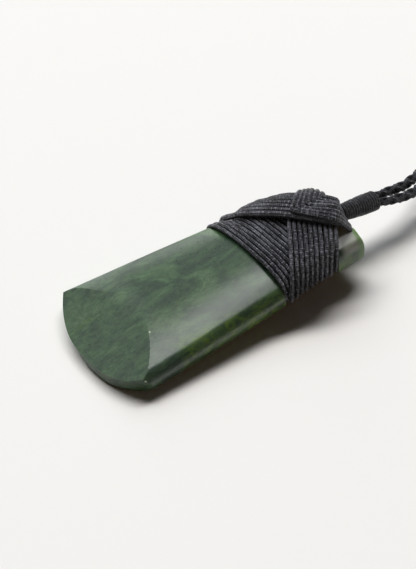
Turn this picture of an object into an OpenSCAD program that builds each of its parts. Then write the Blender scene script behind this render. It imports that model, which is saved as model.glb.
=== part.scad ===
// Greenstone adze pendant on a braided neck cord, lying on a flat surface.
// The stone is drawn in its own frame: u runs from the blade to the poll, v across, w up from
// its flat back. rest_pose() then tilts it, because the turns under the poll lift that end.

/* [Stone] */
// Length from the blade's corners to the poll
stone_len = 50.5; // [46:0.5:58]
// Width across the blade's corners
blade_w = 26.6; // [24:0.2:30]
// Width at the poll
poll_w = 18.9; // [17:0.1:21]
// Thickness at the crown of the domed face, by the poll
stone_t = 6; // [5.4:0.1:7]
// Thickness there by the blade
blade_t = 5.45; // [5:0.05:6]
// How far the cutting edge bows out past its corners
edge_bow = 5.73; // [3:0.01:7]
// Height of the blunt cutting edge at its middle
edge_h = 1.95; // [1.6:0.05:3]
// Slope of the flat bevel, in degrees
bevel_deg = 16; // [10:1:24]
// Radius of the worn lower edge
worn_r = 0.8; // [0.6:0.1:1.4]
// Chamfer round the poll
poll_chamfer = 0.7; // [0.4:0.1:1.2]

/* [Lashing] */
// Diameter of the waxed cord
cord_d = 0.88; // [0.8:0.01:0.9]
// Spacing of the turns, and of the layers that they build up
turn_pitch = 0.93; // [0.92:0.01:1]
// Straight turns next to the blade
straight_count = 13; // [10:1:13]
// Slanted turns over the straight ones
slant_count = 10; // [8:1:11]
// Turns crossing over both towards the poll
cross_count = 7; // [5:1:7]
// Nested bent turns on top
crown_count = 5; // [3:1:5]

/* [Neck cord] */
// Diameter of the whipped neck
whip_d = 3.3; // [3:0.1:4]
// Length of the whipping
whip_len = 7.2; // [5:0.1:9]
// Diameter of each braid of the neck cord
braid_d = 2; // [1.8:0.1:2.1]

/* [Hidden] */
$fn = 48;

// Clear gap between neighbouring pieces
gap = 0.06;
// The cutting edge: where its two corners lie along the stone, and how full its halves are
near_corner_u = 1.24;
far_corner_u = -0.38;
near_bow_n = 3.87;
far_bow_n = 1.95;
blade_end = (near_corner_u + far_corner_u) / 2 - edge_bow;
// How far the lower line of the edge stands out past the upper one: share of the width, overhang
edge_lean = [[-1, 0], [-0.6, 0.2], [-0.15, 0.2], [0.25, -0.65], [0.75, -0.6], [1, 0]];
lean_run = 3;

// The domed face falls to these heights at its sides, and the last part of it is rounded over:
// how wide, how deep. The near side is higher by the poll.
near_side_h = 3.34;
far_side_h = 3.57;
near_rise = 0.6;
rise_from = 35;
rise_run = 8;
near_shoulder = [2, 2];
poll_shoulder = [2, 3];
far_shoulder = [1.5, 1.5];
least_top = 1.2;
least_side = 0.3;

// The crown gains its thickness over this length, and the far side is drawn in by the blade
thick_from = 6;
thick_run = 44;
blade_inset = 0.2;
inset_run = 18;

// Where the lashing hides the far side, its section becomes rounder: a part of an ellipse of this
// exponent that stands on its widest line
wide_w = 2;
far_n = 2.3;
hide_from = 30;
hide_run = 4;

// Radius of the poll's bare corner in plan
near_corner_r = 0.6;

// Where the hidden far side of the stone begins to draw in, and over what length
taper_from = 34;
taper_run = 3;

// How deep the lashing lies inside the stone's own outline: place along the stone, inset.
// On the far side it never comes back out: the lashing hides that corner of the poll.
// The stone has grooves for it, cut by lashing_groove().
near_rows = [[31, 0.9], [35, 1.8], [43, 1.9]];
far_rows = [[29, 0.5], [31, 0.6], [33.5, 1.8], [36, 1.4], [38, 1.5], [42, 3.1], [45, 5.9], [48, 7.3],
    [50, 8.1]];
// The far part of the poll stops short, to leave room for the turns over it
poll_recess = 1.4;
recess_from_v = -5.6;
recess_run = 1;

function clamp(x, lo, hi) = min(max(x, lo), hi);
function ramp(x, from, run) = clamp((x - from) / run, 0, 1);
function half_w(u) = (blade_w + (poll_w - blade_w) * clamp(u, 0, stone_len) / stone_len) / 2;

// Half width of the stone on one side
function side_w(u, far) =
    half_w(u) - (far ? ramp(u, taper_from, taper_run) * lookup(u, far_rows)
        + blade_inset * (1 - ramp(u, 0, inset_run)) : 0);

// Where a line along the stone starts on the cutting edge and ends at the poll
function edge_u(share) =
    (near_corner_u + far_corner_u) / 2 + (far_corner_u - near_corner_u) / 2 * share
    - edge_bow * (1 - pow(abs(share), share > 0 ? far_bow_n : near_bow_n));
function poll_u(v) =
    let(r = near_corner_r, in = -v - (poll_w / 2 - r))
    stone_len - (in > 0 ? r - sqrt(max(r * r - in * in, 0)) : 0)
    - poll_recess * ramp(v, recess_from_v, recess_run);

// Height of the dome, and of the back with its worn edge, over a point of the plan
function dome_w(u, v) =
    let(far = v > 0,
        half = side_w(u, far),
        share = clamp(abs(v) / half, 0, 1),
        crown = blade_t + (stone_t - blade_t) * ramp(u, thick_from, thick_run),
        rise = ramp(u, rise_from, rise_run),
        side = far ? far_side_h : near_side_h + near_rise * rise,
        round = far ? far_shoulder : near_shoulder + (poll_shoulder - near_shoulder) * rise,
        past = ramp(abs(v), half - round[0], round[0]),
        arc = crown - (crown - side) * share * share - round[1] * (1 - sqrt(1 - past * past)),
        hidden = far ? ramp(u, hide_from, hide_run) : 0,
        rounder = wide_w + (stone_t - wide_w) * pow(max(1 - pow(share, far_n), 0), 1 / far_n))
    arc + (rounder - arc) * hidden;
function back_w(u, v, from_edge) =
    let(a = clamp(1 - from_edge / worn_r, 0, 1),
        b = clamp((abs(v) - side_w(u, v > 0)) / worn_r + 1, 0, 1))
    worn_r * (1 - sqrt(max(1 - a * a - b * b, 0)));

// Stations along the stone: at the blade and the poll they are distances in from the end
blade_steps = [0, 0.08, 0.3, 0.65, 1];
poll_steps = [1, 0.5, 0];
mid_stations = [6, 12, inset_run, hide_from, taper_from, taper_from + taper_run, 40, 43, 45.5];
across_steps = 26;
// How deep the poll's chamfer is on the back, as a share of the one on top
back_cut = 0.7;
across = [for (j = [0 : across_steps]) sin(180 * j / across_steps - 90)];

function station_u(i, s) =
    let(nb = len(blade_steps), nm = len(mid_stations))
    i < nb ? edge_u(s) + worn_r * blade_steps[i]
    : i < nb + nm ? mid_stations[i - nb]
    : poll_u(s * poll_w / 2) - poll_chamfer * poll_steps[i - nb - nm];

function stone_point(i, s, top) =
    let(u = station_u(i, s),
        v = s * side_w(u, s > 0),
        cut = poll_chamfer * (1 - ramp(poll_u(s * poll_w / 2) - u, 0, poll_chamfer)),
        top_w = max(dome_w(u, v) - cut, least_top),
        lean = lookup(s, edge_lean) * (1 - ramp(u, edge_u(s), lean_run)))
    top ? [u, v, top_w]
    : [u - lean, v, min(back_w(u, v, u - edge_u(s)) + cut * back_cut, top_w - least_side)];

// Side of the blocks that cut pieces off
cutter = 60;

module stone_loft() {
    ni = len(blade_steps) + len(mid_stations) + len(poll_steps);
    nj = len(across);
    points = concat(
        [for (i = [0 : ni - 1]) for (j = [0 : nj - 1]) stone_point(i, across[j], true)],
        [for (i = [0 : ni - 1]) for (j = [0 : nj - 1]) stone_point(i, across[j], false)]);
    back = ni * nj;
    rim = concat(
        [for (j = [0 : nj - 1]) j],
        [for (i = [1 : ni - 1]) i * nj + nj - 1],
        [for (j = [nj - 2 : -1 : 0]) (ni - 1) * nj + j],
        [for (i = [ni - 2 : -1 : 1]) i * nj]);
    faces = concat(
        [for (i = [0 : ni - 2]) for (j = [0 : nj - 2]) let(a = i * nj + j) each
            [[a, a + 1, a + nj + 1], [a, a + nj + 1, a + nj]]],
        [for (i = [0 : ni - 2]) for (j = [0 : nj - 2]) let(a = back + i * nj + j) each
            [[a, a + nj + 1, a + 1], [a, a + nj, a + nj + 1]]],
        [for (k = [0 : len(rim) - 1]) let(a = rim[k], b = rim[(k + 1) % len(rim)]) each
            [[a, back + b, b], [a, back + a, back + b]]]);
    polyhedron(points, faces);
}

// The taut form that the lashing lies on, grown outwards by d. The crossing turns lie about a
// layer lower before they climb on to the slanted ones, and two layers lower past them, at the
// bare corner of the poll: low is 1 for those turns and 0 for the others.
near_n_rows = [[31, 2.3], [34, 3], [40, 5]];
back_n = 2.8;
poll_n = 6;
far_lag = 0.7;
poll_run = 8;
slant_dir = [0.842, -0.54, 0];
past_slant = 43.1;
past_run = 2.5;
past_drop = 2;
before_slant = 32.5;
before_run = 6;
before_drop = 0.88;

function form_value(p, d, low) =
    let(far = p[1] > 0,
        up = p[2] > wide_w,
        n = up ? (far ? far_n : lookup(p[0], near_n_rows)) : back_n,
        along = slant_dir * p,
        drop = low * turn_pitch * (past_drop * ramp(along, past_slant, past_run)
            + before_drop * ramp(before_slant - along, 0, before_run)),
        inset = drop + (far ? lookup(p[0] - far_lag * d, far_rows) : lookup(p[0], near_rows)),
        half = half_w(p[0]) - inset + d,
        deep = (up ? stone_t - wide_w : wide_w) + d - drop,
        s = pow(pow(abs(p[1]) / half, n) + pow(abs(p[2] - wide_w) / deep, n), 1 / n),
        q = max(0, (p[0] - stone_len + poll_recess + poll_run) / (poll_run + d - drop)))
    pow(pow(s, poll_n) + pow(q, poll_n), 1 / poll_n);

// Distance from o along a unit direction to the form grown by d
function reach(o, dir, d, low, lo = 0, hi = 40, n = 16) =
    n == 0 ? (lo + hi) / 2
    : let(mid = (lo + hi) / 2)
      form_value(o + mid * dir, d, low) > 1 ? reach(o, dir, d, low, lo, mid, n - 1)
      : reach(o, dir, d, low, mid, hi, n - 1);

function unit(v) = v / norm(v);

// A family of turns: plane normal, centre of the first turn, a point on the line of centres,
// how far the turns lean towards the poll on the far side, and low as above
straight_set = [[1, 0.1, 0], [30.9, 0, 2.6], [41, 0, 2.6], 0, 0];
slant_set = [slant_dir, [39.4, -0.75, 2.6], [46.5, -5.1, 2.6], 0, 0];
cross_set = [[0.721, 0.693, 0.176], [41.9, 1.2, 2.6], [48.3, 3.2, 3.4], 0.9, 1];

// Centre of the turn at c turns from the first, along the line of centres
function turn_centre(set, c) =
    let(n = unit(set[0]), run = set[2] - set[1])
    set[1] + run * (c * turn_pitch / (n * run));

// Point of a turn at an angle: 0 points to the far side, 90 points up
function turn_point(set, c, angle, d) =
    let(n = unit(set[0]),
        o = turn_centre(set, c) + n * set[3] * max(cos(angle), 0),
        side = unit(cross(n, [0, 0, -1])),
        up = cross(n, side),
        dir = cos(angle) * side + sin(angle) * up)
    o + dir * reach(o, dir, d, set[4]);

// Cross-section of one turn in the band: its place across in turns, its height as a share of rib_h
rib = [[-0.5, 0], [-0.22, 1], [0.22, 1]];
rib_h = 0.3;

// Inner and outer offset of a layer, counted from 1 at the stone. chord_room keeps the flats
// of its inner side clear of the layer below.
chord_room = 0.16;
function layer_out(k) = gap + (k - 1) * turn_pitch + cord_d;
function layer_in(k) = gap + (k - 1) * turn_pitch + chord_room;

around_steps = 36;
// Spans across the smooth inner side of each band
straight_rows = 7;
slant_rows = 5;
cross_rows = 7;

// A closed band round the stone. Its outer and inner rows are [turn, offset] pairs.
module band(set, outer, inner) {
    na = around_steps;
    rows = concat(outer, inner);
    no = len(outer);
    last = (len(rows) - 1) * na;
    points = [for (r = rows) for (a = [0 : na - 1]) turn_point(set, r[0], a * 360 / na, r[1])];
    function quad(a, b, c, d) = [[a, b, c], [a, c, d]];
    faces = concat(
        [for (i = [0 : no - 2]) for (a = [0 : na - 1]) let(b = (a + 1) % na) each
            quad(i * na + b, i * na + a, (i + 1) * na + a, (i + 1) * na + b)],
        [for (i = [no : len(rows) - 2]) for (a = [0 : na - 1]) let(b = (a + 1) % na) each
            quad(i * na + a, i * na + b, (i + 1) * na + b, (i + 1) * na + a)],
        [for (a = [0 : na - 1]) let(b = (a + 1) % na) each
            quad(no * na + b, no * na + a, a, b)],
        [for (a = [0 : na - 1]) let(b = (a + 1) % na, k = (no - 1) * na) each
            quad(k + b, k + a, last + a, last + b)]);
    polyhedron(points, faces);
}

// Even rows from the first turn's edge to the last one's, both pushed out by past turns
function even_rows(count, rows, offset, past = 0) =
    [for (i = [0 : rows]) [-0.5 - past + (count + 2 * past) * i / rows, offset]];

// The turns of one layer, ribbed on the outside
module turn_band(set, count, layer, inner_rows) {
    ribs = concat(
        [for (c = [0 : count - 1]) for (r = rib) [c + r[0], layer_out(layer) - rib_h * (1 - r[1])]],
        [[count - 0.5, layer_out(layer) - rib_h]]);
    band(set, ribs, even_rows(count, inner_rows, layer_in(layer)));
}

// What the stone loses under one layer, with a clear gap all round
groove_out = 5;
groove_past = 0.15;
module lashing_groove(set, count, layer, rows)
    band(set, even_rows(count, rows, groove_out, groove_past),
        even_rows(count, rows, layer_in(layer) - gap, groove_past));

// The bare near corner of the poll, which the turns over the poll keep clear of
lug_from = 43.5;
lug_side = -1;
module lug_space() {
    intersection() {
        translate([lug_from, lug_side - cutter, -cutter / 2]) cube(cutter);
        union() {
            for (shift = [[1, 0, 1], [1, -1, -1]]) translate(gap * shift) stone_loft();
        }
    }
}

module adze_stone() {
    color([0.16, 0.3, 0.2])
    rest_pose()
    difference() {
        stone_loft();
        translate([blade_end, 0, edge_h])
        rotate([0, -bevel_deg, 0])
        translate([-cutter / 2, -cutter / 2, 0])
        cube(cutter);
        lashing_groove(straight_set, straight_count, 1, straight_rows);
        lashing_groove(slant_set, slant_count, 2, slant_rows);
    }
}

// The straight turns stop under the last slanted one, this far along slant_dir
straight_end = 42.3;
module under_slant_turns() {
    rotate([0, 0, atan2(slant_dir[1], slant_dir[0])])
    translate([straight_end - cutter, -cutter / 2, -cutter / 2])
    cube(cutter);
}

module straight_turns() {
    color([0.13, 0.13, 0.14])
    rest_pose()
    intersection() {
        turn_band(straight_set, straight_count, 1, straight_rows);
        under_slant_turns();
    }
}

module slant_turns() {
    color([0.15, 0.15, 0.16])
    rest_pose()
    difference() {
        turn_band(slant_set, slant_count, 2, slant_rows);
        neck_space();
    }
}

module cross_turns() {
    color([0.11, 0.11, 0.12])
    rest_pose()
    difference() {
        turn_band(cross_set, cross_count, 3, cross_rows);
        neck_space();
        lug_space();
    }
}

// The bent turns: each comes up over the far side, turns sharply at an apex on top, and runs
// down over the poll. crown_first is the first apex and crown_step the way to the next.
crown_first = [41.1, 1.6, 2.6];
crown_step = [1.476, 0.026, 0];
crown_far_dir = [0.766, 0.643, 0];
crown_poll_dir = [0.788, -0.616, 0];
crown_end_angle = -22;
crown_arm_steps = 14;
// More room under the bent turns, whose flats are longer
crown_room = 0.1;

function crown_point(c, step, d) =
    let(arm = step < 0 ? crown_far_dir : crown_poll_dir,
        angle = 90 - (90 - crown_end_angle) * abs(step) / crown_arm_steps,
        o = crown_first + c * crown_step,
        dir = cos(angle) * arm + [0, 0, sin(angle)])
    o + dir * reach(o, dir, d, 1);

module crown_turns() {
    steps = [-crown_arm_steps : crown_arm_steps];
    nt = 2 * crown_arm_steps + 1;
    rows = concat([for (c = [0 : crown_count - 1]) for (r = rib) [c + r[0], rib_h * (1 - r[1])]],
        [[crown_count - 0.5, rib_h]]);
    nr = len(rows);
    points = concat(
        [for (r = rows) for (t = steps) crown_point(r[0], t, layer_out(4) - r[1])],
        [for (r = rows) for (t = steps) crown_point(r[0], t, layer_in(4) + crown_room)]);
    under = nr * nt;
    rim = concat(
        [for (t = [0 : nt - 1]) t],
        [for (i = [1 : nr - 1]) i * nt + nt - 1],
        [for (t = [nt - 2 : -1 : 0]) (nr - 1) * nt + t],
        [for (i = [nr - 2 : -1 : 1]) i * nt]);
    faces = concat(
        [for (i = [0 : nr - 2]) for (t = [0 : nt - 2]) let(a = i * nt + t) each
            [[a, a + nt + 1, a + 1], [a, a + nt, a + nt + 1]]],
        [for (i = [0 : nr - 2]) for (t = [0 : nt - 2]) let(a = under + i * nt + t) each
            [[a, a + 1, a + nt + 1], [a, a + nt + 1, a + nt]]],
        [for (k = [0 : len(rim) - 1]) let(a = rim[k], b = rim[(k + 1) % len(rim)]) each
            [[a, b, under + b], [a, under + b, under + a]]]);
    color([0.14, 0.14, 0.15])
    rest_pose()
    difference() {
        polyhedron(points, faces);
        neck_space();
        lug_space();
    }
}

// The neck leaves the poll's end between the turns and slopes down a little. Its core goes
// into the lashing.
neck_base = [52.3, -0.85, 3.9];
neck_down_deg = 10;
core_d = 2.2;
core_len = 2.2;
whip_pitch = 0.5;
// How thick its cord is in turns of it, so that neighbouring turns join
whip_thick = 1.12;
core_room = 2;

module along_neck() translate(neck_base) rotate([0, 90 + neck_down_deg, 0]) children();

// Room for the neck's core through the turns
module neck_space() along_neck() translate([0, 0, -core_len - core_room])
    cylinder(d = core_d + 2 * gap, h = core_len + core_room);

module neck_whipping() {
    rim = whip_d / 2 - whip_pitch / 2;
    color([0.1, 0.1, 0.11])
    rest_pose()
    along_neck()
    rotate_extrude() {
        translate([0, -core_len]) square([core_d / 2, core_len + whip_len]);
        square([rim, whip_len]);
        for (z = [whip_pitch * 0.6 : whip_pitch : whip_len - whip_pitch * 0.6])
            translate([rim, z]) circle(d = whip_pitch * whip_thick);
    }
}

// Tilt of the lying stone, and its place: the origin is under the middle of the whole object
rest_deg = 3.5;
rest_lift = worn_r * (1 - cos(rest_deg)) - (blade_end + worn_r) * sin(rest_deg);
neck_tip = neck_base + (whip_len + gap) * [cos(neck_down_deg), 0, -sin(neck_down_deg)];
// How far the loop reaches past the whipping, and the blade back from where u is 0
loop_reach = 304.5;
blade_reach = 5.42;
blade_x = (blade_reach - loop_reach - braid_d / 2
    - neck_tip[0] * cos(rest_deg) + neck_tip[2] * sin(rest_deg)) / 2;
function rest_point(p) = [blade_x + p[0] * cos(rest_deg) - p[2] * sin(rest_deg), p[1],
    p[0] * sin(rest_deg) + p[2] * cos(rest_deg) + rest_lift];
module rest_pose() translate([blade_x, 0, rest_lift]) rotate([0, -rest_deg, 0]) children();

// Route of the neck cord from the whipping round and back to it. x is measured from the
// whipping's end, y from the middle of the object, and z is the braid's height.
neck_end = rest_point(neck_tip);
cord_route = [
    [0.2, 0.05, 6.5], [4, 0.15, 5.9], [7.5, 0.35, 5.3], [11, 1.4, 4.7], [18, 4.2, 3.4],
    [28, 8.8, 2], [42, 15.5, 1], [62, 25, 1], [92, 38, 1], [130, 52, 1],
    [174, 62, 1], [218, 65.2, 1], [258, 57, 1], [287, 38, 1], [302, 15, 1],
    [loop_reach, 0, 1], [302, -15, 1], [287, -38, 1], [258, -57, 1],
    [218, -65.2, 1], [174, -62, 1], [130, -52, 1], [92, -38, 1], [62, -25, 1],
    [42, -14.5, 1], [28, -7, 2], [18, -2.9, 3.4], [11, -1.4, 4.7], [7.5, -2.1, 5.3],
    [4, -2.2, 5.9], [0.2, -1.75, 6.5]];
// The braids are squeezed where the whipping holds them
squeeze = 0.78;
squeeze_run = 4;
cord_sides = 8;
cord_rings = 80;

// Point of a smooth curve through the route, at a share from 0 to 1 of its spans. It never
// dips under the surface.
floor_gap = 0.01;
function on_surface(p) = [p[0], p[1], max(p[2], braid_d / 2 + floor_gap)];
function braid_r(p) =
    braid_d / 2 * (squeeze + (1 - squeeze) * clamp((p[0] - neck_end[0]) / squeeze_run, 0, 1));
function route_point(share) =
    let(n = len(cord_route) - 1,
        i = min(floor(share * n), n - 1),
        t = share * n - i,
        a = cord_route[max(i - 1, 0)], b = cord_route[i],
        c = cord_route[i + 1], d = cord_route[min(i + 2, n)])
    on_surface([neck_end[0], 0, 0] + (2 * b + (c - a) * t
        + (2 * a - 5 * b + 4 * c - d) * t * t + (3 * b - a - 3 * c + d) * t * t * t) / 2);

module neck_cord() {
    ring = [for (i = [0 : cord_rings]) route_point(i / cord_rings)];
    points = [for (i = [0 : cord_rings])
        let(way = unit(ring[min(i + 1, cord_rings)] - ring[max(i - 1, 0)]),
            side = unit(cross([0, 0, 1], way)),
            up = cross(way, side))
        for (k = [0 : cord_sides - 1]) let(a = (k + 0.5) * 360 / cord_sides)
            ring[i] + braid_r(ring[i]) * (cos(a) * side + sin(a) * up) / cos(180 / cord_sides)];
    faces = concat(
        [[for (k = [cord_sides - 1 : -1 : 0]) k]],
        [for (i = [0 : cord_rings - 1]) for (k = [0 : cord_sides - 1])
            let(a = i * cord_sides + k, b = i * cord_sides + (k + 1) % cord_sides) each
            [[a, b, b + cord_sides], [a, b + cord_sides, a + cord_sides]]],
        [[for (k = [0 : cord_sides - 1]) cord_rings * cord_sides + k]]);
    color([0.09, 0.09, 0.1])
    polyhedron(points, faces);
}

adze_stone();
straight_turns();
slant_turns();
cross_turns();
crown_turns();
neck_whipping();
neck_cord();
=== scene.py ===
import math
import random

import bpy
from mathutils import Matrix, Vector


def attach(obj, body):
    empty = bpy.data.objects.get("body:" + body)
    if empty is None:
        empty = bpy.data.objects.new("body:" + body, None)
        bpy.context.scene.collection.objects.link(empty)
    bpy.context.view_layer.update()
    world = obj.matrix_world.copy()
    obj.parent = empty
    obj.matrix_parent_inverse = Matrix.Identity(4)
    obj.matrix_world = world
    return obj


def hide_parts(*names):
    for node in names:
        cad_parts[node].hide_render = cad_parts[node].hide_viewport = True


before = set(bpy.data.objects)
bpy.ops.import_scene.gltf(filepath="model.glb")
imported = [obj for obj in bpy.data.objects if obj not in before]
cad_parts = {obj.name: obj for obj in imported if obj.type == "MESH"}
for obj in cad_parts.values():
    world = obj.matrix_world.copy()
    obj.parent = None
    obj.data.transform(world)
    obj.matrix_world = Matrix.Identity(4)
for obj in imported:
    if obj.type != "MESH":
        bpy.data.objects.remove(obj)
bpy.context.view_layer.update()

mm = 0.001
scene = bpy.context.scene
scene.view_settings.view_transform = "Standard"

# The stone's own frame, in millimetres: u from the blade to the poll, v across with the far side
# positive, w up from its back. Most values of the stone, the form, the rest and the neck are
# part.scad's, because this script can't read that file.
stone = {
    "length": 50.5, "bladeW": 26.6, "pollW": 18.9, "bladeInset": 0.2, "insetRun": 18,
    "thick": 6, "bladeT": 5.45, "thickFrom": 6, "thickRun": 44,
    # the cutting edge: its corners, and the bow between them with how square each half of it is
    "nearCorner": 1.24, "farCorner": -0.38, "edgeBow": 5.73, "nearBowN": 3.87, "farBowN": 1.95,
    "edgeH": 1.95, "bevelDeg": 16, "wornR": 0.8,
    # how far the blunt edge's foot lies out from its top, from the near end (-1) to the far one (1)
    "footOut": [(-1, 0), (-0.6, 0.2), (-0.15, 0.2), (0.25, -0.65), (0.75, -0.6), (1, 0)], "footRun": 3,
    # the dome's height at each side before its shoulder falls, rising to the poll on the near side
    "nearSide": 3.34, "farSide": 3.57, "nearRise": 1.0, "riseFrom": 35, "riseRun": 8,
    # width and depth of each shoulder
    "nearShoulder": (2.0, 2.0), "pollShoulder": (1.5, 2.9), "farShoulder": (1.5, 1.5),
    "pollChamfer": 0.7, "cornerR": 0.6, "recess": 1.4, "recessFrom": -5.6, "recessRun": 1,
    # the far side under the turns: where it is drawn in, and where its dome turns rounder, with
    # the height of its widest place and how square it is
    "taperFrom": 34, "taperRun": 3, "rounderFrom": 30, "rounderRun": 4, "wideW": 2, "farN": 2.3,
}

# The taut form that the turns of cord lie on
form = {
    # how far it is drawn in from the stone's full width, by u. On the far side that lags along u
    # by farLag for each millimetre outwards.
    "nearRows": [(31, 0.9), (35, 1.8), (43, 1.9)],
    "farRows": [(29, 0.5), (31, 0.6), (33.5, 1.8), (36, 1.4), (38, 1.5), (42, 3.1), (45, 5.9),
                (48, 7.3), (50, 8.1)], "farLag": 0.7,
    # how square its section is, and its rounding at the poll
    "nearN": [(31, 2.3), (34, 3), (40, 5)], "backN": 2.8, "pollN": 6, "pollRun": 8,
    # how many layers lower the upper turns lie past the slanted ones and before them
    "slantDir": (0.842, -0.54), "pastSlant": 42.6, "pastRun": 1.2, "pastDrop": 2.3,
    "beforeRows": [(21.5, 1.5), (23.5, 1.25), (25, 0.7), (27, 0.78), (29.5, 0.6), (32.5, 0.2), (34, 0)],
    # how its surface is found: the least half width, the farthest search and its halvings
    "leastHalf": 0.01, "farthest": 40.0, "halvings": 20,
}
cordSize = {"d": 0.88, "pitch": 0.93, "gap": 0.06, "sides": 12, "flat": 0.98}
# The stone rests tilted. bladeReach and loopReach say how far the blade lies before the stone's
# origin and the cord's loop past the neck's tip, and centre the object along x.
rest = {"deg": 3.5, "loopReach": 304.5, "bladeReach": 5.42, "braidD": 2}
neck = {"base": Vector((52.3, -0.85, 3.9)), "downDeg": 10, "length": 7.2, "d": 3.3, "gap": 0.06}

restA, neckA = math.radians(rest["deg"]), math.radians(neck["downDeg"])
bladeEnd = (stone["nearCorner"] + stone["farCorner"]) / 2 - stone["edgeBow"]
restLift = stone["wornR"] * (1 - math.cos(restA)) - (bladeEnd + stone["wornR"]) * math.sin(restA)
neckDir = Vector((math.cos(neckA), 0, -math.sin(neckA)))
neckTip = neck["base"] + (neck["length"] + neck["gap"]) * neckDir
bladeX = (rest["bladeReach"] - rest["loopReach"] - rest["braidD"] / 2
          - neckTip.x * math.cos(restA) + neckTip.z * math.sin(restA)) / 2
# from the stone's frame in millimetres to the shared one in metres
toRest = Matrix.Rotation(-restA, 4, "Y")
toWorld = Matrix.Translation((bladeX * mm, 0, restLift * mm)) @ toRest @ Matrix.Scale(mm, 4)
bevelSlope = math.tan(math.radians(stone["bevelDeg"]))


def clamp(x):
    return min(max(x, 0.0), 1.0)


def ramp(x, start, run):
    return clamp((x - start) / run)


def lookup(x, rows):
    if x <= rows[0][0]:
        return rows[0][1]
    for (a, p), (b, q) in zip(rows, rows[1:]):
        if x <= b:
            return p + (q - p) * (x - a) / (b - a)
    return rows[-1][1]


def roundSum(a, b, n):
    return (a ** n + b ** n) ** (1 / n)


def halfW(u):
    return (stone["bladeW"] + (stone["pollW"] - stone["bladeW"]) * clamp(u / stone["length"])) / 2


def sideW(u, far):
    taper = ramp(u, stone["taperFrom"], stone["taperRun"]) * lookup(u, form["farRows"])
    inset = stone["bladeInset"] * (1 - clamp(u / stone["insetRun"]))
    return halfW(u) - (taper + inset if far else 0)


def edgeU(s):
    near, far = stone["nearCorner"], stone["farCorner"]
    bow = 1 - abs(s) ** (stone["farBowN"] if s > 0 else stone["nearBowN"])
    return (near + far) / 2 + (far - near) / 2 * s - stone["edgeBow"] * bow


def pollEnd(v):
    return stone["length"] - stone["recess"] * ramp(v, stone["recessFrom"], stone["recessRun"])


def pollU(v):
    r = stone["cornerR"]
    inside = -v - (stone["pollW"] / 2 - r)
    return pollEnd(v) - (r - math.sqrt(max(r * r - inside * inside, 0)) if inside > 0 else 0)


def crownW(u):
    grow = ramp(u, stone["thickFrom"], stone["thickRun"])
    return stone["bladeT"] + (stone["thick"] - stone["bladeT"]) * grow


def domeW(u, v):
    far = v > 0
    half, top = sideW(u, far), crownW(u)
    rise = ramp(u, stone["riseFrom"], stone["riseRun"])
    wide, deep = (a + (b - a) * rise for a, b in zip(stone["nearShoulder"], stone["pollShoulder"]))
    side = stone["nearSide"] + stone["nearRise"] * rise
    if far:
        wide, deep = stone["farShoulder"]
        side = stone["farSide"]
    past = clamp((abs(v) - half + wide) / wide)
    arc = top - (top - side) * (v / half) ** 2 - deep * (1 - math.sqrt(1 - past * past))
    n = stone["farN"]
    above = (1 - clamp(abs(v) / half) ** n) ** (1 / n)
    rounder = stone["wideW"] + (stone["thick"] - stone["wideW"]) * above
    share = ramp(u, stone["rounderFrom"], stone["rounderRun"]) if far else 0
    return arc + (rounder - arc) * share


def bevelW(u):
    return stone["edgeH"] + (u - bladeEnd) * bevelSlope


def backW(u, v, fromEdge):
    a = clamp(1 - fromEdge / stone["wornR"])
    b = clamp((abs(v) - sideW(u, v > 0)) / stone["wornR"] + 1)
    return stone["wornR"] * (1 - math.sqrt(max(1 - a * a - b * b, 0)))


# 1 on the surface that lies d outside the form, less inside it
def formValue(p, d, low):
    far, up = p.y > 0, p.z > stone["wideW"]
    n = (stone["farN"] if far else lookup(p.x, form["nearN"])) if up else form["backN"]
    along = form["slantDir"][0] * p.x + form["slantDir"][1] * p.y
    past = form["pastDrop"] * ramp(along, form["pastSlant"], form["pastRun"])
    drop = low * cordSize["pitch"] * (past + lookup(along, form["beforeRows"]))
    inset = lookup(p.x - form["farLag"] * d, form["farRows"]) if far else lookup(p.x, form["nearRows"])
    half = halfW(p.x) - drop - inset + d
    deep = (crownW(p.x) - stone["wideW"] if up else stone["wideW"]) + d - drop
    s = roundSum(abs(p.y) / max(half, form["leastHalf"]), abs(p.z - stone["wideW"]) / deep, n)
    run = form["pollRun"]
    q = max(0, (p.x - stone["length"] + stone["recess"] + run) / (run + d - drop))
    return roundSum(s, q, form["pollN"])


# how far that surface lies from o in a direction
def reach(o, way, d, low):
    lo, hi = 0.0, form["farthest"]
    for _ in range(form["halvings"]):
        mid = (lo + hi) / 2
        if formValue(o + mid * way, d, low) > 1:
            hi = mid
        else:
            lo = mid
    return (lo + hi) / 2


def layerMid(layer):
    return cordSize["gap"] + (layer - 1) * cordSize["pitch"] + cordSize["d"] / 2


print("scene: frame and form ready")

# Angles and aim from the photo, in the stone's frame; pixels is the focal length in its pixels
camera = {
    "azimuth": -34.8, "elevation": 48.9, "pixels": 2482, "target": (23.24, 1.72, 0), "away": 450,
    "photoHeight": 569, "sensor": 36, "nearest": 0.01, "farthest": 20,
}


def makeCamera():
    a, e = math.radians(camera["azimuth"]), math.radians(camera["elevation"])
    back = Vector((math.sin(a) * math.cos(e), -math.cos(a) * math.cos(e), math.sin(e)))
    right = Vector((math.cos(a), math.sin(a), 0))
    up = back.cross(right)
    place = Vector(camera["target"]) + back * camera["away"]
    turn = Matrix((right, up, back)).transposed().to_4x4()
    data = bpy.data.cameras.new("photo_camera")
    data.sensor_width = camera["sensor"]
    data.lens = camera["pixels"] / camera["photoHeight"] * data.sensor_width
    data.clip_start = camera["nearest"]
    data.clip_end = camera["farthest"]
    eye = bpy.data.objects.new("photo_camera", data)
    scene.collection.objects.link(eye)
    eye.matrix_world = Matrix.Translation(toWorld @ place) @ toRest @ turn
    scene.camera = eye


makeCamera()
print("scene: camera placed")


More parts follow.
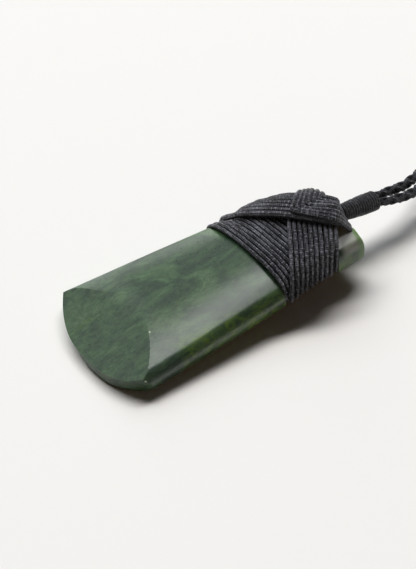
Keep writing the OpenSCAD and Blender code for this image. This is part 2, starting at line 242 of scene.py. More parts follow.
# Shader maths as Python expressions
class Wire:
    def __init__(self, tree, out):
        self.tree = tree
        self.out = out

    @classmethod
    def make(cls, tree, kind, values=None, settings=None, out=0):
        node = tree.nodes.new("ShaderNode" + kind)
        for key, value in (settings or {}).items():
            setattr(node, key, value)
        for key, value in (values or {}).items():
            socket = node.inputs[key]
            if isinstance(value, Wire):
                tree.links.new(value.out, socket)
            else:
                socket.default_value = value
        return cls(tree, node.outputs[out])

    def sibling(self, name):
        return Wire(self.tree, self.out.node.outputs[name])

    def maths(self, operation, other=0.0, swap=False):
        pair = (other, self) if swap else (self, other)
        return Wire.make(self.tree, "Math", {0: pair[0], 1: pair[1]}, {"operation": operation})

    def __add__(self, other):
        return self.maths("ADD", other)

    def __mul__(self, other):
        return self.maths("MULTIPLY", other)

    def __sub__(self, other):
        return self.maths("SUBTRACT", other)

    def __rsub__(self, other):
        return self.maths("SUBTRACT", other, swap=True)

    __radd__ = __add__

    def line(self, gain, base):
        return self * gain + base

    def smooth(self, lo, hi):
        values = {0: self, 1: lo, 2: hi}
        return Wire.make(self.tree, "MapRange", values, {"interpolation_type": "SMOOTHSTEP"})

    def mix(self, a, b):
        a, b = (end if isinstance(end, Wire) else (*end, 1) for end in (a, b))
        # the colour sockets of this node share their names with others, so they go by number
        return Wire.make(self.tree, "Mix", {0: self, 6: a, 7: b}, {"data_type": "RGBA"}, 2)


def clearTree(owner):
    owner.use_nodes = True
    owner.node_tree.nodes.clear()
    return owner.node_tree


def finishTree(tree, shader, kind="OutputMaterial"):
    output = tree.nodes.new("ShaderNode" + kind)
    tree.links.new(shader.out, output.inputs["Surface"])


def noise(tree, vector, scale, detail, rough, distortion=0.0):
    values = {"Vector": vector, "Scale": scale, "Detail": detail, "Roughness": rough}
    return Wire.make(tree, "TexNoise", {**values, "Distortion": distortion})


def mapped(tree, vector, turn, stretch):
    values = {"Vector": vector, "Rotation": (0, 0, math.radians(turn)), "Scale": stretch}
    return Wire.make(tree, "Mapping", values)


# Greenstone: dark mid green with cloudy mottling, dark veins and yellow-green blotches. Painted light
# on it: more yellow-green on its near side and a yellow-green band at the poll, both a painted glow of
# light through the stone, a pale painted highlight on the top by the poll, and a painted bluish sheen on
# the bevel
jade = {
    "body": (0.052, 0.112, 0.046), "deep": (0.017, 0.038, 0.022), "pale": (0.085, 0.145, 0.07),
    "blotchAndGlow": (0.12, 0.2, 0.03), "fleck": (0.42, 0.45, 0.33), "pollHighlight": (0.5, 0.52, 0.46),
    "rim": (0.1, 0.22, 0.035), "bevel": (0.1, 0.15, 0.11), "chip": (0.62, 0.66, 0.55),
    # small chips: u, v, w and radius, then how ragged they are and where they start to fade
    "chips": [(5.95, -5.2, 5.2, 0.22), (0.4, -13, 3.6, 0.35), (0.1, -12.6, 2.9, 0.25)],
    "chipRagged": (0.3, -0.15), "chipCore": 0.6,
    # how the coordinates turn, in degrees, and stretch
    "streaky": (-24, (0.55, 1.25, 1)), "slope": (-55, (0.5, 1.3, 1)),
    # each noise's scale, detail, roughness and distortion
    "clouds": (0.18, 6, 0.62, 1.2), "veins": (0.3, 7, 0.62, 2.2), "curdle": (0.55, 5, 0.65, 1.8),
    "blots": (0.22, 4, 0.55, 1.6), "fine": (1.6, 6, 0.7, 0.6), "flecks": (5.2, 2, 0.5, 0.0),
    # where on its noise each tint starts and is full, and its strength: a share, or gain and base
    "bodyAt": (0.38, 0.62), "paleAt": (0.5, 0.72),
    "curdlePaleAt": (0.42, 0.7), "curdlePale": (0.4, 0.2),
    "curdleDeepAt": (0.5, 0.68), "curdleDeep": (0.45, 0.15),
    "veinAt": (0.0, 0.05), "veinMiddle": 0.5, "veinShare": 0.5,
    "blotAt": (0.62, 0.8), "blotShare": 0.6, "sideGlowAt": (0.44, 0.62), "sideGlow": (0.85, 0.1),
    "fineAt": (0.45, 0.75), "fineShare": 0.35, "fleckAt": (0.79, 0.84), "fleckShare": 0.5,
    # where on the object the bevel's painted sheen ends, and where the near side's painted glow, the
    # painted highlight on the top by the poll and the painted glow at the poll's end start
    "bevelU": (7, 10), "bevelSheenShare": 0.35, "sideV": (8.6, 11),
    "pollHighlightU": (44.5, 46.5), "pollHighlightW": (6.0, 7.4), "pollHighlightBy": (0.5, 0.55),
    "rimU": (48.2, 49.6), "rimBase": 0.3,
    "rough": 0.21, "fineRough": 0.18, "groundRough": 0.1, "ior": 1.6,
    "bump": 0.3, "bumpDepth": 0.03, "fleckBump": 0.5,
    "subsurface": 0.15, "depth": 1.4, "scatter": (0.5, 1.0, 0.35),
}


def makeJade():
    material = bpy.data.materials.new("polished_greenstone")
    tree = clearTree(material)
    coords = Wire.make(tree, "TexCoord", out="Object")
    values = {"Vector": coords, "Location": (-bladeX, 0, 0), "Scale": (1 / mm, 1 / mm, 1 / mm)}
    place = Wire.make(tree, "Mapping", values)
    u = Wire.make(tree, "SeparateXYZ", {"Vector": place})
    v, w = u.sibling("Y"), u.sibling("Z")
    streaky = mapped(tree, place, *jade["streaky"])
    slope = mapped(tree, place, *jade["slope"])
    clouds = noise(tree, streaky, *jade["clouds"])
    veins = noise(tree, streaky, *jade["veins"])
    blots = noise(tree, streaky, *jade["blots"])
    curdle = noise(tree, slope, *jade["curdle"])
    fine = noise(tree, place, *jade["fine"])
    flecks = noise(tree, place, *jade["flecks"])

    bevel = 1 - u.smooth(*jade["bevelU"])
    colour = clouds.smooth(*jade["bodyAt"]).mix(jade["deep"], jade["body"])
    colour = clouds.smooth(*jade["paleAt"]).mix(colour, jade["pale"])
    # painted sheen: the bevel is tinted a lighter bluish grey-green
    colour = (bevel * jade["bevelSheenShare"]).mix(colour, jade["bevel"])
    pale = curdle.smooth(*jade["curdlePaleAt"]) * bevel.line(*jade["curdlePale"])
    colour = pale.mix(colour, jade["pale"])
    deep = (1 - curdle).smooth(*jade["curdleDeepAt"]) * bevel.line(*jade["curdleDeep"])
    colour = deep.mix(colour, jade["deep"])
    vein = 1 - (veins - jade["veinMiddle"]).maths("ABSOLUTE").smooth(*jade["veinAt"])
    colour = (vein * jade["veinShare"]).mix(colour, jade["deep"])
    # painted glow: extra yellow-green blotches on the near side, for light passing through the stone
    side = (0 - v).smooth(*jade["sideV"]) * (1 - bevel)
    sideGlow = side * curdle.smooth(*jade["sideGlowAt"]).line(*jade["sideGlow"])
    blotAndGlow = blots.smooth(*jade["blotAt"]) * jade["blotShare"] + sideGlow
    colour = blotAndGlow.mix(colour, jade["blotchAndGlow"])
    colour = (fine.smooth(*jade["fineAt"]) * jade["fineShare"]).mix(colour, jade["pale"])
    colour = (flecks.smooth(*jade["fleckAt"]) * jade["fleckShare"]).mix(colour, jade["fleck"])
    # the poll's end is rougher, and a pale painted highlight lies on its top
    pollHighlight = u.smooth(*jade["pollHighlightU"])
    paintedHighlight = pollHighlight * w.smooth(*jade["pollHighlightW"]) * fine.line(*jade["pollHighlightBy"])
    colour = paintedHighlight.mix(colour, jade["pollHighlight"])
    # painted glow: a yellow-green band at the poll's end, for light passing through the stone
    colour = (u.smooth(*jade["rimU"]) * (fine + jade["rimBase"])).mix(colour, jade["rim"])
    for *point, r in jade["chips"]:
        spot = toWorld @ Vector(point) / mm - Vector((bladeX, 0, 0))
        values = {0: place, 1: spot}
        away = Wire.make(tree, "VectorMath", values, {"operation": "DISTANCE"}, "Value")
        chip = 1 - (away + fine.line(*jade["chipRagged"])).smooth(r * jade["chipCore"], r)
        colour = chip.mix(colour, jade["chip"])

    rough = jade["rough"] + fine * jade["fineRough"] + pollHighlight * jade["groundRough"]
    height = fine + flecks * jade["fleckBump"]
    values = {"Strength": jade["bump"], "Distance": jade["bumpDepth"] * mm, "Height": height}
    bump = Wire.make(tree, "Bump", values)
    finishTree(tree, Wire.make(tree, "BsdfPrincipled", {
        "Base Color": colour, "Roughness": rough, "Normal": bump, "IOR": jade["ior"],
        "Subsurface Weight": jade["subsurface"], "Subsurface Radius": jade["scatter"],
        "Subsurface Scale": jade["depth"] * mm}))
    return material


# Waxed cord: near-black with a soft waxy shine, the lozenges of its weave, and pale crests that are
# partly worn and partly a painted sheen
waxed = {
    "colour": (0.004, 0.004, 0.006), "worn": (0.3, 0.31, 0.37),
    # each kind's weave: its length along the cord in mm and its count around it, then the cord's
    # roughness and the strength of its pale crests, partly wear and partly painted sheen
    "kinds": {
        "waxed_lashing_cord": (0.75, 3, 0.27, 1.3),
        "waxed_band_cord": (0.75, 3, 0.36, 0.8),
        "waxed_whipping_cord": (0.4, 3, 0.3, 0.5),
        "waxed_neck_cord": (0.6, 3, 0.46, 0.6),
    },
    # each noise's scale, detail and roughness, and how the cord's own coordinates stretch for threads
    "jitter": (1400, 3, 0.6), "broad": (260, 3, 0.6), "thread": (1, 4, 0.7), "stretch": (4, 2.2, 1),
    "jitterRun": 1.5, "weaveHeight": 0.7, "jitterHeight": 0.7, "threadHeight": 1.6,
    # the outer side lies at a quarter of the way round, and the crest fades from there
    "outer": 0.25, "crestFade": (0.07, 0.21), "crestBy": (0.96, 0.04),
    "weaveAt": (0.1, 0.9), "weaveSheenAndWear": 0.2, "threadAt": (0.5, 0.62), "threadSheenAndWear": 0.65,
    "broadAt": (0.45, 0.7), "broadSheenAndWear": 0.25,
    "broadRough": 0.16, "weaveRough": 0.06, "sideRough": 0.15,
    "bump": 0.9, "bumpDepth": 0.2, "ior": 1.65, "sheen": 0.05, "sheenRough": 0.5,
}


def makeWaxed(name, along, around, rough, sheenAndWearGain):
    material = bpy.data.materials.new(name)
    tree = clearTree(material)
    uv = Wire.make(tree, "UVMap", settings={"uv_map": "cordMap"})
    u = Wire.make(tree, "SeparateXYZ", {"Vector": uv})
    v = u.sibling("Y")
    coords = Wire.make(tree, "TexCoord", out="Object")
    jitter = noise(tree, coords, *waxed["jitter"])
    broad = noise(tree, coords, *waxed["broad"])
    thread = noise(tree, mapped(tree, uv, 0, waxed["stretch"]), *waxed["thread"])
    turn = u * (2 * math.pi * around)
    run = v * (2 * math.pi / along) + jitter * waxed["jitterRun"]
    weave = (turn + run).maths("SINE") * (turn - run).maths("SINE")
    height = (weave * waxed["weaveHeight"] + jitter * waxed["jitterHeight"]
              + thread * waxed["threadHeight"])
    # pale crests, strongest on the outer side: partly wear, partly a painted sheen
    crest = 1 - (u - waxed["outer"]).maths("ABSOLUTE").smooth(*waxed["crestFade"])
    worn = (weave.smooth(*waxed["weaveAt"]) * waxed["weaveSheenAndWear"]
            + thread.smooth(*waxed["threadAt"]) * waxed["threadSheenAndWear"]
            + broad.smooth(*waxed["broadAt"]) * waxed["broadSheenAndWear"])
    colour = (worn * crest.line(*waxed["crestBy"]) * sheenAndWearGain).mix(waxed["colour"], waxed["worn"])
    rough = (rough + broad * waxed["broadRough"] - weave * waxed["weaveRough"]
             + (1 - crest) * waxed["sideRough"])
    values = {"Strength": waxed["bump"], "Distance": waxed["bumpDepth"] * mm, "Height": height}
    bump = Wire.make(tree, "Bump", values)
    finishTree(tree, Wire.make(tree, "BsdfPrincipled", {
        "Base Color": colour, "Roughness": rough, "Normal": bump, "IOR": waxed["ior"],
        "Sheen Weight": waxed["sheen"], "Sheen Roughness": waxed["sheenRough"]}))
    return material


# Rings of points along a path. outward is the side that lies a quarter of the way round each
# ring, wide and high are half sizes at each point, and square is 2 for an ellipse.
def tubeRings(points, outward, wide, high, sides, closed, uvFrom=0.0, square=2.0):
    rings, lengths = [], [uvFrom]
    count = len(points)
    section = []
    for k in range(sides):
        c, s = math.cos(2 * math.pi * k / sides), math.sin(2 * math.pi * k / sides)
        r = (abs(c) ** square + abs(s) ** square) ** (-1 / square)
        section.append((c * r, s * r))
    for i, p in enumerate(points):
        before = points[i - 1] if i or closed else p
        after = points[(i + 1) % count] if i + 1 < count or closed else p
        way = (after - before).normalized()
        up = (outward[i] - way * outward[i].dot(way)).normalized()
        side = way.cross(up)
        rings.append([p + side * (wide[i] * c) + up * (high[i] * s) for c, s in section])
        if i:
            lengths.append(lengths[-1] + (p - points[i - 1]).length)
    if closed:
        lengths.append(lengths[-1] + (points[0] - points[-1]).length)
    return rings, lengths


class TubePiece:
    def __init__(self, name):
        self.name = name
        self.verts, self.faces, self.maps = [], [], []

    def add(self, rings, lengths, closed):
        start, sides, count = len(self.verts), len(rings[0]), len(rings)
        for ring in rings:
            self.verts.extend(ring)
        for i in range(count if closed else count - 1):
            a, b = start + i * sides, start + (i + 1) % count * sides
            v0, v1 = lengths[i], lengths[i + 1]
            for k in range(sides):
                m = (k + 1) % sides
                self.faces.append((a + k, b + k, b + m, a + m))
                u0, u1 = k / sides, (k + 1) / sides
                self.maps.extend([(u0, v0), (u0, v1), (u1, v1), (u1, v0)])
        if not closed:
            last = start + (count - 1) * sides
            self.faces.append(tuple(start + k for k in range(sides)))
            self.faces.append(tuple(last + k for k in reversed(range(sides))))
            self.maps.extend([(0.5, 0.0)] * sides * 2)

    def finish(self, material, slot, *nodes, place=toWorld):
        mesh = bpy.data.meshes.new(self.name)
        mesh.from_pydata([place @ v for v in self.verts], [], self.faces)
        layer = mesh.uv_layers.new(name="cordMap")
        layer.data.foreach_set("uv", [c for pair in self.maps for c in pair])
        mesh.polygons.foreach_set("use_smooth", [True] * len(mesh.polygons))
        mesh.materials.append(material)
        mesh.validate()
        piece = bpy.data.objects.new(self.name, mesh)
        scene.collection.objects.link(piece)
        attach(piece, "root")
        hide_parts(*nodes)
        print("scene:", self.name, len(mesh.polygons), "faces")


# Lashing: each turn is a cord of its own, laid where a plane with the given normal cuts the taut
# form. Turns step from first towards to, and lean moves their far side along the normal.
lashing = {
    "steps": 100, "seed": 7, "wander": 0.035, "ripple": 0.03, "ripples": 3, "uvWander": 3,
    "startDeg": -90,  # underneath
    # fan moves the far side of the first turns, in turns, and fades from turn to turn
    "fanFade": 2.4, "fanN": 1.5,
    # where the upper turns go down over the poll they are turned towards it, by pull degrees from
    # pullOver below pullTop to pullFade above pullFoot, and less beyond
    "pull": 12, "pullTop": 38, "pullOver": 26, "pullFoot": -60, "pullFade": 30,
    "sets": {
        "straight_cord_turns": {
            "normal": (1, 0.1, 0), "first": (30.9, 0, 2.6), "to": (41, 0, 2.6), "lean": 0, "low": 0,
            "count": 13, "layer": 1, "wide": 0.87, "square": 2.1, "fan": 0.0,
            "node": "straight_turns", "look": "waxed_lashing_cord"},
        "slanted_cord_turns": {
            "normal": (0.842, -0.54, 0), "first": (39.4, -0.75, 2.6), "to": (46.5, -5.1, 2.6),
            "lean": 0, "low": 0, "count": 10, "layer": 2, "wide": 0.84, "square": 2.1, "fan": 0.35,
            "node": "slant_turns", "look": "waxed_lashing_cord"},
        "crossing_cord_turns": {
            "normal": (0.721, 0.693, 0.176), "first": (41.9, 1.2, 2.6), "to": (48.3, 3.2, 3.4),
            "lean": 0.9, "low": 1, "count": 7, "layer": 3, "wide": 1.25, "square": 3.4, "fan": -0.72,
            "node": "cross_turns", "look": "waxed_band_cord"},
    },
}


def pulledIn(way, most):
    height = math.degrees(math.asin(way.z))
    above = clamp((lashing["pullTop"] - height) / lashing["pullOver"])
    below = ramp(height, lashing["pullFoot"], lashing["pullFade"])
    return Matrix.Rotation(math.radians(most * (above * below)), 3, "Z") @ way


def turnPoint(turns, c, angle, d):
    n = Vector(turns["normal"]).normalized()
    first = Vector(turns["first"])
    run = Vector(turns["to"]) - first
    o = first + run * (c * cordSize["pitch"] / n.dot(run))
    o = o + n * turns["lean"] * max(math.cos(angle), 0)
    side = n.cross(Vector((0, 0, -1))).normalized()
    up = n.cross(side)
    way = math.cos(angle) * side + math.sin(angle) * up
    if turns["low"] and math.cos(angle) < 0:
        way = pulledIn(way, lashing["pull"])
    return o + way * reach(o, way, d, turns["low"]), way


def makeTurns(name, turns, material):
    piece = TubePiece(name)
    draw = random.Random(lashing["seed"] + turns["layer"])
    steps, d = lashing["steps"], layerMid(turns["layer"])
    wide = [cordSize["pitch"] / 2 * turns["wide"]] * steps
    high = [cordSize["d"] / 2 * cordSize["flat"]] * steps
    for c in range(turns["count"]):
        shift = draw.uniform(-1, 1) * lashing["wander"]
        phase = draw.uniform(0, 2 * math.pi)
        fan = turns["fan"] * math.exp(-c / lashing["fanFade"])
        points, outward = [], []
        for i in range(steps):
            angle = math.radians(lashing["startDeg"]) + 2 * math.pi * i / steps
            ripple = lashing["ripple"] * math.sin(lashing["ripples"] * angle + phase)
            fanned = fan * max(math.cos(angle), 0) ** lashing["fanN"]
            p, way = turnPoint(turns, c + shift + ripple + fanned, angle, d)
            points.append(p)
            outward.append(way)
        uvFrom = draw.uniform(0, lashing["uvWander"])
        piece.add(*tubeRings(points, outward, wide, high, cordSize["sides"], True, uvFrom,
                             turns["square"]), True)
    piece.finish(material, "lashing_cord", turns["node"])


# Crown: nested bent turns, up over the far side, round an apex and down over the poll
crown = {
    # each turn's apex u and v, which way its far arm and its poll arm leave it in degrees, and how
    # deep it sinks
    "cords": [
        (41.3, 1.35, 38.8, -50, 0.25), (42.15, 0.85, 40, -46, 0.12), (43.2, 0.56, 42.5, -41.5, 0.1),
        (44.5, 0.62, 44.5, -38.5, 0.15), (45.85, 0.85, 42, -41, 0.4), (47.15, 1.1, 37, -47, 0.8)],
    "low": 2.6, "topDeg": 90, "endDeg": -22, "steps": 36, "layer": 4, "square": 2.8, "pull": 9,
    # how deep each cord tucks in and from which share of its arm, and how often its bend is eased
    "tuck": 1.3, "tuckFrom": 0.88, "tuckRun": 0.12, "bend": 5,
    # width of the far arm and of the poll arm, in pitches, and the steps over which it changes
    "wide": (0.9, 1.18), "widenFrom": -6, "widenRun": 16,
}


def makeCrown(material):
    piece = TubePiece("bent_cord_turns")
    narrow, broad = crown["wide"]
    high = [cordSize["d"] / 2 * cordSize["flat"]] * (2 * crown["steps"] + 1)
    for u, v, farDeg, pollDeg, sink in crown["cords"]:
        o = Vector((u, v, crown["low"]))
        points, outward, wide = [], [], []
        for step in range(-crown["steps"], crown["steps"] + 1):
            azimuth = math.radians(farDeg if step < 0 else pollDeg)
            share = abs(step) / crown["steps"]
            angle = math.radians(crown["topDeg"] - (crown["topDeg"] - crown["endDeg"]) * share)
            flat = math.cos(angle)
            way = Vector((flat * math.cos(azimuth), flat * math.sin(azimuth), math.sin(angle)))
            if step > 0:
                way = pulledIn(way, crown["pull"])
            tuck = crown["tuck"] * ramp(share, crown["tuckFrom"], crown["tuckRun"])
            points.append(o + way * reach(o, way, layerMid(crown["layer"]) - tuck - sink, 1))
            outward.append(way)
            widen = ramp(step, crown["widenFrom"], crown["widenRun"])
            wide.append(cordSize["pitch"] / 2 * (narrow * (1 - widen) + broad * widen))
        for _ in range(crown["bend"]):
            eased = [(a + 2 * b + c) / 4 for a, b, c in zip(points, points[1:], points[2:])]
            points = [points[0]] + eased + [points[-1]]
        piece.add(*tubeRings(points, outward, wide, high, cordSize["sides"], False, u,
                             crown["square"]), False)
    piece.finish(material, "lashing_cord", "crown_turns")


# Whipping: one fine cord wound round the neck's core
whipping = {
    "cordD": 0.58, "pitch": 0.5, "perTurn": 32, "sides": 8, "from": -1.3, "wander": 0.05, "seed": 5,
    # how far the windings swell past the neck's own width, by the place along it
    "swell": [(0, 0), (2.5, 0.22), (5, 0.3), (6.4, 0.3), (7.2, 0.12)],
    # the core: thinner inside the lashing, where it steps out, and how short of the tip it ends
    "coreD": 2.2, "coreIn": 2.2, "coreStep": (0.02, 0.021), "coreShort": 0.05, "coreSides": 24,
}


def makeWhipping(material):
    piece = TubePiece("whipped_neck")
    side = Vector((0, 1, 0))
    up = side.cross(neckDir)
    up = -up if up.z < 0 else up
    ends = (-whipping["coreIn"], *whipping["coreStep"], neck["length"] - whipping["coreShort"])
    core = [neck["base"] + neckDir * x for x in ends]
    coreR = [whipping["coreD"] / 2] * 2 + [neck["d"] / 2 - whipping["cordD"] / 2] * 2
    piece.add(*tubeRings(core, [up] * 4, coreR, coreR, whipping["coreSides"], False), False)
    draw = random.Random(whipping["seed"])
    run = neck["length"] - whipping["from"] - whipping["cordD"]
    turns = int(run / whipping["pitch"])
    loose = [draw.uniform(-1, 1) * whipping["wander"] for _ in range(turns + 2)]
    steps = turns * whipping["perTurn"]
    points, outward = [], []
    for i in range(steps + 1):
        turn, share = divmod(i / whipping["perTurn"], 1)
        a = 2 * math.pi * share
        way = side * math.cos(a) + up * math.sin(a)
        x = whipping["from"] + whipping["cordD"] / 2 + run * i / steps
        r = (neck["d"] - whipping["cordD"]) / 2 + lookup(x, whipping["swell"])
        r += loose[int(turn)] * (1 - share) + loose[int(turn) + 1] * share
        points.append(neck["base"] + neckDir * x + way * r)
        outward.append(way)
    cordR = [whipping["cordD"] / 2] * len(points)
    piece.add(*tubeRings(points, outward, cordR, cordR, whipping["sides"], False), False)
    piece.finish(material, "lashing_cord", "neck_whipping")


# Neck cord: four strands plaited round, 700 mm from the whipping round to the whipping
braid = {
    # x from the neck's tip, y and z, in millimetres of the shared frame
    "route": [
        (0.2, 0.05, 6.5), (4, 0.15, 5.9), (7.5, 0.35, 5.3), (11, 1.4, 4.7), (18, 4.2, 3.4),
        (28, 8.8, 2), (42, 15.5, 1), (62, 25, 1), (92, 38, 1), (130, 52, 1), (174, 62, 1),
        (218, 65.2, 1), (258, 57, 1), (287, 38, 1), (302, 15, 1), (304.5, 0, 1), (302, -15, 1),
        (287, -38, 1), (258, -57, 1), (218, -65.2, 1), (174, -62, 1), (130, -52, 1), (92, -38, 1),
        (62, -25, 1), (42, -14.5, 1), (28, -7, 2), (18, -2.9, 3.4), (11, -1.4, 4.7),
        (7.5, -2.1, 5.3), (4, -2.2, 5.9), (0.2, -1.75, 6.5)],
    "fineSteps": 60, "step": 0.42, "clear": 0.01, "lowest": 0.03,
    # the strands: one round of the plait, their size, their places round the middle of the braid,
    # and how much smaller they are by the whipping
    "strands": 4, "plait": 6.4, "strandD": 0.98, "middle": 0.47, "over": 0.13, "sides": 6,
    "uvShift": 0.6, "squeeze": 0.84, "squeezeRun": 5,
}


def smoothRoute(rows):
    route = [Vector(p) for p in rows]
    fine = []
    for i in range(len(route) - 1):
        a, b, c, d = route[max(i - 1, 0)], route[i], route[i + 1], route[min(i + 2, len(route) - 1)]
        for k in range(braid["fineSteps"]):
            t = k / braid["fineSteps"]
            fine.append((2 * b + (c - a) * t + (2 * a - 5 * b + 4 * c - d) * t * t
                         + (3 * b - a - 3 * c + d) * t * t * t) / 2)
    fine.append(route[-1])
    total = sum((b - a).length for a, b in zip(fine, fine[1:]))
    count = round(total / braid["step"])
    even, travelled, i = [fine[0]], 0.0, 0
    for k in range(1, count):
        goal = total * k / count
        while travelled + (fine[i + 1] - fine[i]).length < goal:
            travelled += (fine[i + 1] - fine[i]).length
            i += 1
        even.append(fine[i].lerp(fine[i + 1], (goal - travelled) / (fine[i + 1] - fine[i]).length))
    even.append(fine[-1])
    return even, total


def makeBraid(material):
    start = toWorld @ neckTip / mm
    points, total = smoothRoute(braid["route"])
    least = rest["braidD"] / 2 + braid["clear"]
    points = [Vector((p.x + start.x, p.y, max(p.z, least))) for p in points]
    piece = TubePiece("plaited_neck_cord")
    last = len(points) - 1
    for strand in range(braid["strands"]):
        turn = 1 if strand < braid["strands"] / 2 else -1
        path, outward, size = [], [], []
        for i, p in enumerate(points):
            way = (points[min(i + 1, last)] - points[max(i - 1, 0)]).normalized()
            side = Vector((0, 0, 1)).cross(way).normalized()
            up = way.cross(side)
            phase = 2 * math.pi * (total * i / last) / braid["plait"]
            angle = turn * phase + math.pi * (strand % 2)
            squeeze = ramp(p.x, start.x, braid["squeezeRun"])
            grow = braid["squeeze"] + (1 - braid["squeeze"]) * squeeze
            r = (braid["middle"] + turn * braid["over"] * math.cos(2 * phase)) * grow
            out = side * math.cos(angle) + up * math.sin(angle)
            path.append(p + out * r)
            outward.append(out)
            size.append(braid["strandD"] / 2 * grow)
        uvFrom = strand * braid["uvShift"]
        rings, lengths = tubeRings(path, outward, size, size, braid["sides"], False, uvFrom)
        rings = [[Vector((v.x, v.y, max(v.z, braid["lowest"]))) for v in ring] for ring in rings]
        piece.add(rings, lengths, False)
    print("scene: neck cord of", round(total, 1), "mm")
    piece.finish(material, "neck_cord", "neck_cord", place=Matrix.Scale(mm, 4))


# Stone: a cut-up block whose points take the stone's shape, one column of them on the bevel's
# upper border. Boolean cuts then make room for the two lower layers of turns.
block = {
    "cuts": 86, "bevelColumn": 28, "rounds": 6, "same": 0.001,
    # columns lie closer together at both ends and at the border
    "spread": 0.45, "leastBevel": 0.35, "leastTop": 1.2, "leastThick": 0.3, "lowerChamfer": 0.7,
    # how far the bevel blends into the dome, and how far between two places on the edge. Where the
    # blend is less than crispBelow, the border is marked sharp.
    "crease": 0.02, "softCrease": 0.5, "crispBelow": 0.2,
    "softFrom": -0.3, "softRun": 0.3, "softTo": 0.62, "softFade": 0.1, "smoothDeg": 30,
    # the cutters' inner and outer distance from the form, how far they run past the turns, in
    # turns, and their steps around
    "cutIn": 0.03, "cutOut": 5.0, "cutPast": 0.03, "cutSteps": 72,
}
bevelEnd = 2 * block["bevelColumn"] / (block["cuts"] + 1) - 1


def creaseAt(s):
    fade = clamp((block["softTo"] - s) / block["softFade"])
    soft = ramp(s, block["softFrom"], block["softRun"]) * fade
    return block["crease"] + (block["softCrease"] - block["crease"]) * soft


# x, y and z are the point's place in the block, each from -1 to 1
def stonePoint(x, y, z):
    s = math.sin(math.pi / 2 * y)
    lo, hi = edgeU(s), pollU(s * stone["pollW"] / 2)
    border = lo
    for _ in range(block["rounds"]):
        rise = domeW(border, s * sideW(border, s > 0)) - stone["edgeH"]
        border = max(bladeEnd + rise / bevelSlope, lo + block["leastBevel"])
    t = (x + 1) / (bevelEnd + 1) if x < bevelEnd else (x - bevelEnd) / (1 - bevelEnd)
    t = (1 - block["spread"]) * t + block["spread"] * (0.5 - 0.5 * math.cos(math.pi * t))
    u = lo + (border - lo) * t if x < bevelEnd else border + (hi - border) * t
    v = s * sideW(u, s > 0)
    cut = stone["pollChamfer"] * (1 - clamp((hi - u) / stone["pollChamfer"]))
    dome, bevel, k = domeW(u, v), bevelW(u), creaseAt(s)
    top = min(dome, bevel) - max(k - abs(dome - bevel), 0) ** 2 / 4 / k
    top = max(top - cut, block["leastTop"])
    low = min(backW(u, v, u - lo) + cut * block["lowerChamfer"], top - block["leastThick"])
    share = (z + 1) / 2
    out = lookup(s, stone["footOut"]) * (1 - share) * clamp(1 - (u - lo) / stone["footRun"])
    return Vector((u - out, v, low + (top - low) * share))


def bandCutter(turns):
    steps, rows, past = block["cutSteps"], turns["count"], block["cutPast"]
    inner = block["cutIn"] + (turns["layer"] - 1) * cordSize["pitch"]
    ends = [-0.5 - past + (rows + 2 * past) * i / rows for i in range(rows + 1)]
    around = [2 * math.pi * a / steps for a in range(steps)]
    verts = [turnPoint(turns, c, a, d)[0] for d in (block["cutOut"], inner) for c in ends for a in around]
    half, last = (rows + 1) * steps, rows * steps
    faces = []
    for a in range(0, last, steps):
        b = a + steps
        for k in range(steps):
            m = (k + 1) % steps
            faces.append((a + k, a + m, b + m, b + k))
            faces.append((half + a + m, half + a + k, half + b + k, half + b + m))
    for k in range(steps):
        m = (k + 1) % steps
        faces.append((m, k, half + k, half + m))
        faces.append((last + k, last + m, half + last + m, half + last + k))
    mesh = bpy.data.meshes.new("groove_cutter")
    mesh.from_pydata(verts, [], faces)
    cutter = bpy.data.objects.new("groove_cutter", mesh)
    scene.collection.objects.link(cutter)
    return cutter


def onlySelect(piece):
    bpy.ops.object.select_all(action="DESELECT")
    piece.select_set(True)
    bpy.context.view_layer.objects.active = piece


def makeStone(material):
    bpy.ops.object.select_all(action="DESELECT")
    bpy.ops.mesh.primitive_cube_add(size=2)
    piece = bpy.context.object
    piece.name = piece.data.name = "greenstone_blade"
    bpy.ops.object.mode_set(mode="EDIT")
    bpy.ops.mesh.subdivide(number_cuts=block["cuts"])
    bpy.ops.object.mode_set(mode="OBJECT")
    crisp = set()
    for vert in piece.data.vertices:
        x, y, z = vert.co
        onBorder = abs(x - bevelEnd) < block["same"] and z > 1 - block["same"]
        if onBorder and creaseAt(math.sin(math.pi / 2 * y)) < block["crispBelow"]:
            crisp.add(vert.index)
        vert.co = stonePoint(x, y, z)
    for edge in piece.data.edges:
        edge.use_edge_sharp = edge.vertices[0] in crisp and edge.vertices[1] in crisp
    for name in ("straight_cord_turns", "slanted_cord_turns"):
        cutter = bandCutter(lashing["sets"][name])
        groove = piece.modifiers.new("groove", "BOOLEAN")
        groove.operation = "DIFFERENCE"
        groove.solver = "EXACT"
        groove.object = cutter
        onlySelect(piece)
        bpy.ops.object.modifier_apply(modifier="groove")
        bpy.data.objects.remove(cutter)
    bpy.ops.object.shade_smooth_by_angle(angle=math.radians(block["smoothDeg"]), keep_sharp_edges=True)
    piece.data.transform(toWorld)
    piece.data.materials.clear()
    piece.data.materials.append(material)
    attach(piece, "root")
    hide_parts("adze_stone")
    print("scene: stone", len(piece.data.polygons), "faces")


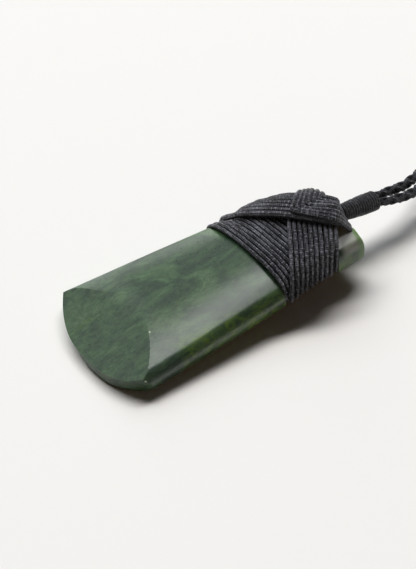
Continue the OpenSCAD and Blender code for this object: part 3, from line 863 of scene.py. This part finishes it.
# Floor and light: one long soft window and a doorway on the far side give the shadows. The cards
# light nothing but the shine, as white cards round a product table do.
studio = {
    "floor": (0.86, 0.86, 0.86), "floorSize": 8, "floorRough": 0.9, "floorShine": 0.2,
    "ambient": (0.9, 0.96, 1.0), "ambientPower": 0.008, "shinePower": 0.1,
    # the lamps stand this far away in metres from the middle, and their watts are those of 2 m
    "away": 3.5, "ratedAt": 2, "middle": (25, 0, 3),
    # azimuth, elevation, half width and half height in degrees, watts, colour, what is lit by it
    "lamps": {
        "window_high": (73, 48.5, 32, 6, 57.5, (1.0, 0.975, 0.94), "diffuse"),
        "window_low": (73, 33, 34, 8, 16.5, (0.88, 0.94, 1.0), "diffuse"),
        "doorway": (71, 14.5, 10, 8, 5, (0.9, 0.95, 1.0), "diffuse"),
        "card_overhead": (19, 67, 8, 8, 8, (1.0, 1.0, 1.0), "glossy"),
        "card_wide": (96, 56, 46, 18, 9, (0.93, 0.97, 1.0), "glossy"),
        "card_far": (66, 18, 12, 6, 4, (1.0, 1.0, 1.0), "glossy"),
        "warm_fill": (-110, 28, 30, 20, 1.8, (1.0, 0.62, 0.34), "diffuse"),
    },
}


def makeFloor():
    bpy.ops.object.select_all(action="DESELECT")
    bpy.ops.mesh.primitive_plane_add(size=studio["floorSize"])
    floor = bpy.context.object
    floor.name = "studio_floor"
    material = bpy.data.materials.new("matt_white_table")
    tree = clearTree(material)
    finishTree(tree, Wire.make(tree, "BsdfPrincipled", {
        "Base Color": (*studio["floor"], 1), "Roughness": studio["floorRough"],
        "Specular IOR Level": studio["floorShine"]}))
    floor.data.materials.append(material)


# A dim even sky, brighter where it is seen in the shine
def makeSky():
    world = bpy.data.worlds.new("studio")
    tree = clearTree(world)
    glossy = Wire.make(tree, "LightPath", out="Is Glossy Ray")
    power = glossy.line(studio["shinePower"] - studio["ambientPower"], studio["ambientPower"])
    values = {"Color": (*studio["ambient"], 1), "Strength": power}
    finishTree(tree, Wire.make(tree, "Background", values), "OutputWorld")
    scene.world = world


def makeLamps():
    middle, distance = toWorld @ Vector(studio["middle"]), studio["away"]
    for name, (azimuth, elevation, across, high, watts, colour, lights) in studio["lamps"].items():
        a, e = math.radians(azimuth), math.radians(elevation)
        way = Vector((math.cos(e) * math.cos(a), math.cos(e) * math.sin(a), math.sin(e)))
        data = bpy.data.lights.new(name, "AREA")
        data.shape = "RECTANGLE"
        data.size = 2 * distance * math.tan(math.radians(across))
        data.size_y = 2 * distance * math.tan(math.radians(high))
        data.energy = watts * (distance / studio["ratedAt"]) ** 2
        data.color = colour
        light = bpy.data.objects.new(name, data)
        scene.collection.objects.link(light)
        light.location = middle + way * distance
        light.rotation_euler = way.to_track_quat("Z", "Y").to_euler()
        light.visible_diffuse = lights == "diffuse"
        light.visible_glossy = lights == "glossy"


greenstone = makeJade()
cordLooks = {name: makeWaxed(name, *kind) for name, kind in waxed["kinds"].items()}
print("scene: materials ready")
makeStone(greenstone)
for name, turns in lashing["sets"].items():
    makeTurns(name, turns, cordLooks[turns["look"]])
makeCrown(cordLooks["waxed_band_cord"])
makeWhipping(cordLooks["waxed_whipping_cord"])
makeBraid(cordLooks["waxed_neck_cord"])
makeFloor()
makeSky()
makeLamps()
print("scene: floor and light ready")
